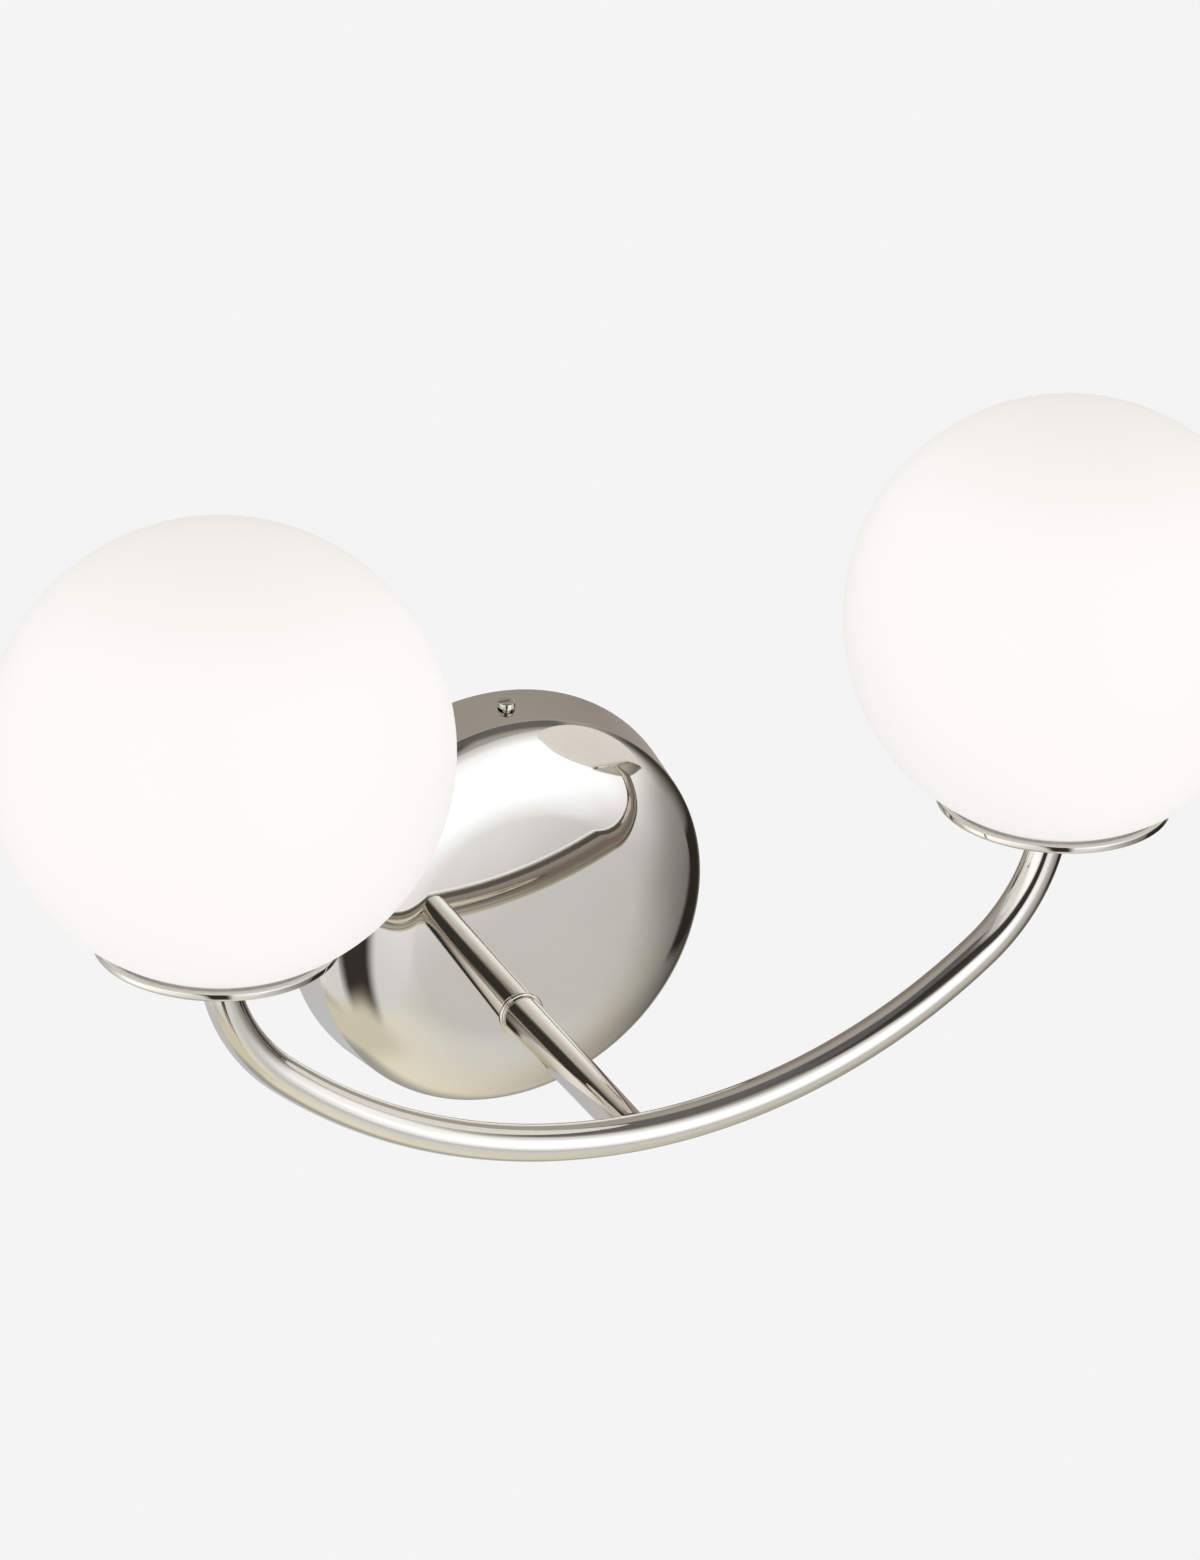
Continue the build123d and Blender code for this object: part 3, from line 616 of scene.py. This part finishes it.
@dataclass
class Canopy:
    """Spun wall canopy: a dome of three arcs, a small round at the rim and a flared side wall.

    Attributes:
        radius: Outside radius on the wall.
        wall: Thickness of the sheet.
        flare: How far the side wall leans outwards towards the wall, in degrees.
        rim_curve: Radius of the rim in section.
        edge_reach: Distance of the dome's edge from the axis.
        edge_depth: Depth of the dome's edge.
        edge_width: Width of the dome's outer band.
        edge_curve: Radius of the outer band in section.
        shoulder_width: Width of the dome's shoulder.
        shoulder_curve: Radius of the shoulder in section.
        crown_curve: Radius of the nearly flat crown.
        outside_steps: Straight pieces in each arc of the outside, from the crown to the rim.
        inside_steps: Straight pieces in each arc of the inside, from the rim to the crown.
    """

    radius: float
    wall: float = 0.9 * MM
    flare: float = 7.2
    rim_curve: float = 1.4 * MM
    edge_reach: float = 72.3 * MM
    edge_depth: float = 20.9 * MM
    edge_width: float = 5.6 * MM
    edge_curve: float = 18.0 * MM
    shoulder_width: float = 25.7 * MM
    shoulder_curve: float = 62.6 * MM
    crown_curve: float = 1305.0 * MM
    outside_steps: tuple[int, ...] = (16, 64, 40, 12)
    inside_steps: tuple[int, ...] = (6, 16, 24, 8)

    def section(self) -> list[tuple[float, float, float]]:
        """Section of the dome and its rim.

        Returns:
            For each arc from the crown out: its centre's radius and depth, and its turn in degrees.
        """
        crown_width = self.edge_reach - self.edge_width - self.shoulder_width
        widths = (crown_width, self.shoulder_width, self.edge_width)
        curves = (self.crown_curve, self.shoulder_curve, self.edge_curve, self.rim_curve)
        tilts = [0.0]
        for width, curve in zip(widths, curves):
            tilts.append(math.asin(math.sin(tilts[-1]) + width / curve))
        rises = [c * (math.cos(a) - math.cos(b)) for c, a, b in zip(curves, tilts, tilts[1:])]
        tilts.append(math.radians(90 - self.flare))
        centre_r, centre_h = 0.0, self.edge_depth + sum(rises)
        arcs = []
        last = 0.0
        for curve, start, end in zip(curves, tilts, tilts[1:]):
            centre_r += (last - curve) * math.sin(start)
            centre_h += (last - curve) * math.cos(start)
            arcs.append((centre_r, centre_h, math.degrees(end - start)))
            last = curve
        return arcs

    def build(self) -> bpy.types.Object:
        """Model the shell and return its piece."""
        arcs = self.section()
        lean = math.radians(self.flare)
        rim_r, rim_h, _ = arcs[-1]
        inside = self.rim_curve - self.wall
        pen = Pen(0.0, arcs[0][1] + self.crown_curve)
        for (centre_r, centre_h, turn), steps in zip(arcs, self.outside_steps):
            pen.arc(centre_r, centre_h, -turn, steps)
        pen.line(self.radius, 0.0)
        pen.line(self.radius - self.wall / math.cos(lean), 0.0)
        pen.line(rim_r + inside * math.cos(lean), rim_h + inside * math.sin(lean))
        for (centre_r, centre_h, turn), steps in zip(reversed(arcs), self.inside_steps):
            pen.arc(centre_r, centre_h, turn, steps)
        mesh = pen.lathe(facing_room())
        return nickel_piece(mesh, "canopy_shell", "canopy")


@dataclass
class Bow:
    """Bent tube in three arcs that rises upright into both cups.

    Attributes:
        reach: Distance of the bow's plane from the wall.
        drop: How far the lowest point of its centre line lies below the canopy's centre.
        half_span: Half the distance between its ends.
        tube_radius: Outside radius of the tube.
        bottom_radius: Radius of the wide middle arc.
        end_radius: Radius of the arcs at the ends.
        girth_steps: Straight pieces round the tube.
        bottom_steps: Straight pieces along the middle arc.
        end_steps: Straight pieces along each end arc.
    """

    reach: float
    drop: float
    half_span: float
    tube_radius: float
    bottom_radius: float = 201.0 * MM
    end_radius: float = 66.0 * MM
    girth_steps: int = 64
    bottom_steps: int = 160
    end_steps: int = 64

    def build(self) -> bpy.types.Object:
        """Sweep a circle along the three arcs and return the piece."""
        end_x = self.half_span - self.end_radius
        bottom_z = self.bottom_radius - self.drop
        end_z = bottom_z - math.sqrt((self.bottom_radius - self.end_radius) ** 2 - end_x**2)
        knuckle = math.atan2(end_x, bottom_z - end_z)
        mesh = bmesh.new()
        start = Matrix.Translation((-self.half_span, -self.reach, end_z))
        bmesh.ops.create_circle(
            mesh, radius=self.tube_radius, segments=self.girth_steps, matrix=start
        )
        loop: list[Any] = mesh.verts[:] + mesh.edges[:]
        bends = (
            ((-end_x, end_z), math.pi / 2 - knuckle, self.end_steps),
            ((0.0, bottom_z), 2 * knuckle, self.bottom_steps),
            ((end_x, end_z), math.pi / 2 - knuckle, self.end_steps),
        )
        for (x, z), angle, steps in bends:
            made = bmesh.ops.spin(
                mesh,
                geom=loop,
                cent=(x, -self.reach, z),
                axis=(0.0, -1.0, 0.0),
                angle=angle,
                steps=steps,
            )
            loop = made["geom_last"]
        open_edges = [edge for edge in mesh.edges if edge.is_boundary]
        bmesh.ops.holes_fill(mesh, edges=open_edges, sides=0)
        bmesh.ops.recalc_face_normals(mesh, faces=mesh.faces[:])
        return nickel_piece(mesh, "bow_sweep", "bow_tube")


@dataclass
class Arm:
    """Straight tube, a little wider at its foot, from the canopy's collar to the back of the bow.

    Attributes:
        foot: Depth of its end on the collar.
        reach: Depth of the bow's centre line, where it ends inside the bow.
        drop: How far its axis lies below the canopy's centre.
        tube_radius: Outside radius of the tube at the bow.
        swell: How much wider its radius is at the foot.
        round: Radius of its rounded foot.
        stop: Gap between its end and the bow's centre line, as a share of the tube's radius.
    """

    foot: float
    reach: float
    drop: float
    tube_radius: float
    swell: float = 0.85 * MM
    round: float = 1.4 * MM
    stop: float = 0.4

    def build(self) -> bpy.types.Object:
        """Turn the tube and return its piece."""
        end = self.reach - self.stop * self.tube_radius
        shank = self.tube_radius + self.swell - self.round
        pen = Pen(0.0, self.foot)
        pen.line(shank, self.foot)
        pen.arc(shank, self.foot + self.round, turn=90, steps=8)
        pen.line(self.tube_radius, end)
        pen.line(0.0, end)
        mesh = pen.lathe(facing_room(-self.drop))
        return nickel_piece(mesh, "arm_rod", "arm_tube")


@dataclass
class LampHead:
    """Saucer cup and opal globe at one end of the bow.

    Attributes:
        side: Which end.
        x: Place of the head along the wall.
        reach: Distance of its axis from the wall.
        rim_z: Height of the cup's rim.
        floor_z: Height of the cup's underside at its middle.
        cup_radius: Outside radius of the cup.
        mouth_z: Height of the globe's ground mouth.
        crown_z: Height of the globe's top.
        globe_radius: Outside radius of the globe.
        globe_wall: Thickness of the glass.
        mouth_radius: Radius of the globe's opening.
        lip_height: Height of the cup's thick lip.
        lip_width: Width of the lip.
        lip_round: Radius under the lip.
        rim_round: Radius on both edges of the rim.
        crown: How far the cup's underside bulges below a straight cone.
        cup_wall: Thickness of the cup's floor.
        fade_from: How far below the globe's top its glow starts to fade, in globe radii.
        fade_past: How far above its top the fade would end, in globe radii.
        glass: Finish of the globe, set from its heights.
    """

    side: Side
    x: float
    reach: float
    rim_z: float
    floor_z: float
    cup_radius: float
    mouth_z: float
    crown_z: float
    globe_radius: float = 75.0 * MM
    globe_wall: float = 3.5 * MM
    mouth_radius: float = 31.0 * MM
    lip_height: float = 2.9 * MM
    lip_width: float = 2.5 * MM
    lip_round: float = 1.3 * MM
    rim_round: float = 0.5 * MM
    crown: float = 1.6 * MM
    cup_wall: float = 1.2 * MM
    fade_from: float = 0.45
    fade_past: float = 0.2
    glass: GlowFinish = field(init=False)

    def __post_init__(self) -> None:
        """Set the glow of the glass by the globe's own heights."""
        self.glass = GlowFinish(
            "opal_glow",
            tint=(0.50, 0.495, 0.485),
            lit=(0.525, 0.52, 0.515),
            crown=(0.415, 0.38, 0.36),
            edge=(1.0, 0.985, 0.965),
            low=self.crown_z - self.fade_from * self.globe_radius,
            high=self.crown_z + self.fade_past * self.globe_radius,
            roughness=0.35,
        )

    def place(self) -> Matrix:
        """Frame of the head's upright lathe."""
        return Matrix.Translation((self.x, -self.reach, 0.0))

    def bowl_arc(self, radius: float, rise: float) -> tuple[float, float, float]:
        """Centre and turn of a shallow arc from the axis out to the lip.

        Args:
            radius: How far out the arc ends.
            rise: How far it climbs.

        Returns:
            The centre's radius, its height above the arc's start, and the turn in degrees.
        """
        chord = math.hypot(radius, rise)
        curve = (chord**2 / 4 + self.crown**2) / (2 * self.crown)
        lean = math.atan2(rise, radius)
        inset = curve - self.crown
        centre_r = radius / 2 - inset * math.sin(lean)
        centre_h = rise / 2 + inset * math.cos(lean)
        return centre_r, centre_h, 2 * math.degrees(math.asin(chord / 2 / curve))

    def build_cup(self) -> bpy.types.Object:
        """Turn the saucer cup and return its piece."""
        lip_z = self.rim_z - self.lip_height
        edge_z = self.rim_z - self.rim_round
        inner = self.cup_radius - self.lip_width
        under_end = self.cup_radius - self.lip_round
        rise = lip_z - self.floor_z
        under_r, under_h, under_turn = self.bowl_arc(under_end, rise)
        over_r, over_h, over_turn = self.bowl_arc(inner, rise - self.cup_wall)
        pen = Pen(0.0, self.floor_z)
        pen.arc(under_r, self.floor_z + under_h, under_turn, steps=40)
        pen.arc(under_end, lip_z + self.lip_round, turn=90, steps=10)
        pen.line(self.cup_radius, edge_z)
        pen.arc(self.cup_radius - self.rim_round, edge_z, turn=90, steps=5)
        pen.line(inner + self.rim_round, self.rim_z)
        pen.arc(inner + self.rim_round, edge_z, turn=90, steps=5)
        pen.line(inner, lip_z)
        pen.arc(over_r, self.floor_z + self.cup_wall + over_h, -over_turn, steps=24)
        mesh = pen.lathe(self.place())
        return nickel_piece(mesh, f"saucer_{self.side.value}", f"cup_{self.side.value}")

    def build_globe(self) -> bpy.types.Object:
        """Turn the blown globe with its open mouth and return its piece."""
        centre_z = self.crown_z - self.globe_radius
        inner = self.globe_radius - self.globe_wall
        drop = centre_z - self.mouth_z
        outer_angle = math.degrees(math.asin(drop / self.globe_radius))
        inner_angle = math.degrees(math.acos(self.mouth_radius / inner))
        edge = math.sqrt(self.globe_radius**2 - drop**2)
        pen = Pen(edge, self.mouth_z)
        pen.arc(0.0, centre_z, 90 + outer_angle, steps=96)
        pen.line(0.0, centre_z + inner)
        pen.arc(0.0, centre_z, -90 - inner_angle, steps=64)
        pen.line(self.mouth_radius, self.mouth_z)
        pen.close()
        mesh = pen.lathe(self.place())
        name = f"opal_globe_{self.side.value}"
        node = f"globe_{self.side.value}"
        return finish_piece(mesh, name, node, self.glass, [node])


@dataclass
class Hardware:
    """CAD nodes that are shown as packed, or as a smooth copy where they are round and polished.

    Attributes:
        nodes: CAD objects by node name.
        slots: Material slot of each node.
        finishes: Finish of each slot.
        polished: Nodes that are shown as a smooth copy.
    """

    nodes: dict[str, bpy.types.Object]
    slots: dict[str, str]
    finishes: dict[str, Finish]
    polished: Sequence[str]

    def dress(self) -> None:
        """Give every node its finish, and show the polished ones as smooth copies."""
        for name, node in self.nodes.items():
            finish = self.finishes[self.slots[name]]
            node.data.materials.clear()
            node.data.materials.append(finish.material())
            if name in self.polished:
                self.smooth_copy(name, finish)

    def smooth_copy(self, name: str, finish: Finish) -> bpy.types.Object:
        """Show a node as a copy with its seams merged and its round faces smooth."""
        mesh = bmesh.new()
        mesh.from_mesh(self.nodes[name].data)
        bmesh.ops.remove_doubles(mesh, verts=mesh.verts[:], dist=MERGE_DISTANCE)
        body = self.nodes[name]["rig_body"]
        return finish_piece(mesh, f"{name}_smooth", body, finish, [name])


@dataclass(frozen=True)
class Panel:
    """A soft-edged screen, wall or lamp of the studio, as the polished metal mirrors it.

    Attributes:
        bearing: Where its middle lies, in degrees from straight in front of the wall towards +X.
        height: How far its middle lies above the horizon, in degrees.
        roll: How far it leans, in degrees.
        half_width: Half the angle that it spans across.
        half_height: Half the angle that it spans upwards.
        fade: Angle over which each edge fades out.
        colour: Its colour.
    """

    bearing: float
    height: float
    roll: float
    half_width: float
    half_height: float
    fade: float
    colour: Colour

    def mask(self, graph: Graph, towards: bpy.types.NodeSocket) -> Value:
        """How much of the panel shows.

        Args:
            graph: The world's nodes.
            towards: The direction looked in.

        Returns:
            1 inside the panel, 0 outside it, and between them along its edges.
        """
        turn = Matrix.Rotation(math.radians(self.bearing), 3, "Z")
        tilt = Matrix.Rotation(math.radians(-self.height), 3, "X")
        lean = Matrix.Rotation(math.radians(-self.roll), 3, "Y")
        aim = turn @ tilt @ lean
        ahead = graph.dot(towards, aim @ Vector((0.0, -1.0, 0.0)))
        across = abs(graph.dot(towards, aim @ Vector((1.0, 0.0, 0.0))).degrees_to(ahead))
        upwards = abs(graph.dot(towards, aim @ Vector((0.0, 0.0, 1.0))).degrees_to(ahead))
        inside = ahead.above(0.0)
        for angle, half in ((across, self.half_width), (upwards, self.half_height)):
            inside = inside * (1.0 - angle.smooth_step(half - self.fade / 2, half + self.fade / 2))
        return inside


@dataclass(frozen=True)
class Lamp:
    """A square soft lamp that the metal doesn't mirror.

    Attributes:
        name: Name of the lamp.
        place: Where it hangs.
        size: Length of its sides.
        power: Its power, in watts.
    """

    name: str
    place: Point
    size: float
    power: float

    def hang(self, aim: Point) -> None:
        """Add the lamp, turned towards a point."""
        data = bpy.data.lights.new(self.name, "AREA")
        data.size = self.size
        data.energy = self.power
        lamp = bpy.data.objects.new(self.name, data)
        lamp.location = self.place
        ahead = Vector(aim) - Vector(self.place)
        lamp.rotation_euler = ahead.to_track_quat("-Z", "Y").to_euler()
        lamp.visible_glossy = False
        bpy.context.scene.collection.objects.link(lamp)


def grey(level: float) -> Colour:
    """Neutral colour of a level."""
    return (level, level, level)


@dataclass
class Studio:
    """Camera, pale floor, soft lamps and the surroundings that the metal mirrors.

    Attributes:
        eye: Place of the camera.
        yaw: How far it looks to the right of straight at the wall, in degrees.
        pitch: How far it looks down, in degrees.
        roll: How far it leans, in degrees.
        lens: Focal length, in millimetres, for a sensor whose long side is SENSOR_WIDTH.
        paper: Level of the plain background, and of the floor as the camera sees it.
        floor_z: Height of the floor, low enough to leave views from below free.
        floor_radius: Radius of the floor.
        floor_steps: Straight pieces round the floor.
        floor_level: Level of the floor's own colour.
        fill: Level of the even light from all round.
        lamps: Soft lamps in front of the light.
        aim: Point that the lamps are turned towards.
        base: Colour of the surroundings behind all panels.
        panels: What stands round the light, each drawn over the ones before it.
    """

    eye: Point = (-0.8927, -1.92395, 1.0571)
    yaw: float = 25.91
    pitch: float = 25.55
    roll: float = 2.52
    lens: float = 156.8
    paper: float = 0.905
    floor_z: float = -2.6
    floor_radius: float = 12.0
    floor_steps: int = 64
    floor_level: float = 0.95
    fill: float = 0.9
    lamps: tuple[Lamp, ...] = (
        Lamp("key", place=(-1.2, -2.2, 1.6), size=1.6, power=3.5),
        Lamp("fill", place=(1.4, -1.6, -0.2), size=1.4, power=1.5),
    )
    aim: Point = (0.0, -0.1, 0.05)
    base: Colour = (0.455, 0.448, 0.421)
    panels: tuple[Panel, ...] = (
        Panel(-117.4, -19.6, 43.4, 84.4, 39.0, 7.7, (0.662, 0.686, 0.707)),
        Panel(56.2, -61.4, 10.8, 81.3, 25.7, 23.2, (1.014, 0.961, 0.807)),
        Panel(-50.4, -8.7, -6.5, 80.1, 41.0, 10.2, (0.864, 0.889, 0.899)),
        Panel(176.7, 6.6, -11.5, 28.0, 35.9, 41.5, (0.295, 0.259, 0.235)),
        Panel(149.2, 5.6, 5.1, 14.3, 14.7, 50.0, (0.303, 0.241, 0.220)),
        Panel(28.9, -40.5, -82.1, 18.8, 17.3, 53.6, (0.804, 0.845, 0.862)),
        Panel(91.0, -35.0, 81.8, 24.2, 27.9, 60.0, (0.105, 0.113, 0.126)),
        Panel(23.4, 23.2, 4.5, 25.8, 19.6, 4.8, (0.764, 0.781, 0.787)),
        Panel(11.7, 77.1, -4.1, 38.7, 23.2, 8.8, (0.170, 0.163, 0.166)),
        Panel(21.9, 6.1, 14.1, 29.7, 21.4, 33.9, (1.553, 1.642, 1.779)),
        Panel(59.4, 17.0, 20.3, 20.6, 11.9, 20.1, (1.246, 1.280, 1.305)),
        Panel(-77.9, -10.7, -62.6, 19.4, 44.7, 37.0, (1.420, 1.450, 1.480)),
        Panel(-26.2, 18.6, 8.8, 13.5, 66.6, 10.7, (0.045, 0.040, 0.035)),
        Panel(99.9, -9.3, 28.5, 13.4, 45.6, 38.4, (0.025, 0.015, 0.005)),
        Panel(91.8, -24.3, 10.3, 14.4, 12.3, 4.3, (0.032, 0.027, 0.025)),
        Panel(-45.6, -59.3, 11.2, 26.2, 10.3, 11.0, (0.804, 0.764, 0.623)),
        Panel(-23.0, 32.0, -24.2, 6.4, 28.2, 10.3, (0.060, 0.056, 0.052)),
        Panel(-58.1, 68.1, 20.7, 27.5, 11.3, 7.2, (0.139, 0.139, 0.146)),
    )

    def set_camera(self) -> None:
        """Place the camera at the photograph's viewpoint."""
        data = bpy.data.cameras.new("camera")
        data.lens = self.lens
        data.sensor_width = SENSOR_WIDTH
        camera = bpy.data.objects.new("camera", data)
        turn = Matrix.Rotation(math.radians(-self.yaw), 4, "Z")
        tilt = Matrix.Rotation(math.radians(90 - self.pitch), 4, "X")
        lean = Matrix.Rotation(math.radians(self.roll), 4, "Z")
        camera.matrix_world = Matrix.Translation(self.eye) @ turn @ tilt @ lean
        bpy.context.scene.collection.objects.link(camera)
        bpy.context.scene.camera = camera

    def set_surroundings(self) -> None:
        """Make the plain background and the surroundings that polished metal mirrors."""
        world = bpy.data.worlds.new("studio")
        world.use_nodes = True
        bpy.context.scene.world = world
        graph = Graph(world.node_tree)
        towards = graph.node("ShaderNodeTexCoord").outputs["Generated"]
        mirrored: Any = self.base
        for panel in self.panels:
            mirrored = graph.mix(panel.mask(graph, towards), mirrored, panel.colour)
        path = graph.node("ShaderNodeLightPath")
        seen = Value(graph, path.outputs["Is Camera Ray"])
        glossy = Value(graph, path.outputs["Is Glossy Ray"])
        level = graph.mix(glossy, grey(self.fill), mirrored)
        colour = graph.mix(seen, level, grey(self.paper))
        back = graph.node("ShaderNodeBackground", None, {"Color": colour, "Strength": 1.0})
        graph.node("ShaderNodeOutputWorld", None, {"Surface": back.outputs[0]})

    def set_floor(self) -> None:
        """Lay a wide pale floor well below the light."""
        mesh = bmesh.new()
        bmesh.ops.create_circle(
            mesh,
            cap_ends=True,
            radius=self.floor_radius,
            segments=self.floor_steps,
            matrix=Matrix.Translation((0.0, 0.0, self.floor_z)),
        )
        data = bpy.data.meshes.new("floor")
        mesh.to_mesh(data)
        mesh.free()
        material = bpy.data.materials.new("pale_floor")
        material.use_nodes = True
        graph = Graph(material.node_tree)
        matt = graph.node("ShaderNodeBsdfDiffuse", None, {"Color": grey(self.floor_level)})
        shine = {"Color": grey(self.paper), "Strength": 1.0}
        paper = graph.node("ShaderNodeEmission", None, shine)
        path = graph.node("ShaderNodeLightPath")
        seen = Value(graph, path.outputs["Is Camera Ray"])
        shaders = {0: seen, 1: matt.outputs[0], 2: paper.outputs[0]}
        blend = graph.node("ShaderNodeMixShader", None, shaders)
        graph.node("ShaderNodeOutputMaterial", None, {"Surface": blend.outputs[0]})
        data.materials.append(material)
        floor = bpy.data.objects.new("floor", data)
        floor.visible_glossy = False
        bpy.context.scene.collection.objects.link(floor)

    def build(self) -> None:
        """Set the whole studio."""
        bpy.context.scene.view_settings.view_transform = "Standard"
        self.set_camera()
        self.set_surroundings()
        self.set_floor()
        for lamp in self.lamps:
            lamp.hang(self.aim)


def build_heads(reach: float) -> LampHead:
    """Build the cup and globe at both ends of the bow.

    Args:
        reach: Distance of the heads' axes from the wall.

    Returns:
        The last head, whose glass is that of both globes.
    """
    for side in Side:
        cup_low, cup_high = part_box(f"cup_{side.value}")
        globe_low, globe_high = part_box(f"globe_{side.value}")
        seat_low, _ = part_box(f"globe_seat_{side.value}")
        head = LampHead(
            side=side,
            x=(cup_low.x + cup_high.x) / 2,
            reach=reach,
            rim_z=cup_high.z,
            floor_z=seat_low.z - SEAT_ABOVE_CUP,
            cup_radius=(cup_high.x - cup_low.x) / 2,
            mouth_z=globe_low.z,
            crown_z=globe_high.z,
        )
        head.build_cup()
        head.build_globe()
    return head


def bulb_finish() -> GlowFinish:
    """Finish of the bulbs' frosted glass, by the bulbs' own heights."""
    low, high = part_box("bulb_envelope_left")
    return GlowFinish(
        "bulb_glass",
        tint=(0.90, 0.89, 0.86),
        lit=(0.30, 0.27, 0.21),
        crown=(0.28, 0.25, 0.19),
        edge=(0.98, 0.96, 0.92),
        low=(low.z + high.z) / 2,
        high=high.z,
        roughness=0.3,
    )


def main(frame: dict[str, Any]) -> None:
    """Build every piece in order.

    Args:
        frame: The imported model, as loaded.
    """
    logging.basicConfig(level=logging.INFO, format="%(name)s: %(message)s")
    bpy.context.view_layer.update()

    _, canopy_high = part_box("canopy")
    bow_low, bow_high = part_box("bow_tube")
    arm_low, arm_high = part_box("arm_tube")
    tube_radius = (arm_high.x - arm_low.x) / 2
    reach = -(bow_low.y + bow_high.y) / 2
    drop = -(arm_low.z + arm_high.z) / 2
    half_span = bow_high.x - tube_radius

    Canopy(radius=canopy_high.x).build()
    Bow(reach=reach, drop=drop, half_span=half_span, tube_radius=tube_radius).build()
    Arm(foot=-arm_high.y, reach=reach, drop=drop, tube_radius=tube_radius).build()
    head = build_heads(reach)

    slots = {part["node"]: part["material_slot"] for part in frame["record"]["subparts"]}
    finishes = dict(NODE_FINISH, opal_glass=head.glass, frosted_glass=bulb_finish())
    polished = ["arm_collar", "canopy_screw_top", "canopy_screw_bottom"]
    for side in Side:
        polished += [f"{piece}_{side.value}" for piece in POLISHED_IN_HEAD]
    Hardware(frame["nodes"], slots, finishes, polished).dress()

    Studio().build()


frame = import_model()

if __name__ == "__main__":
    main(frame)
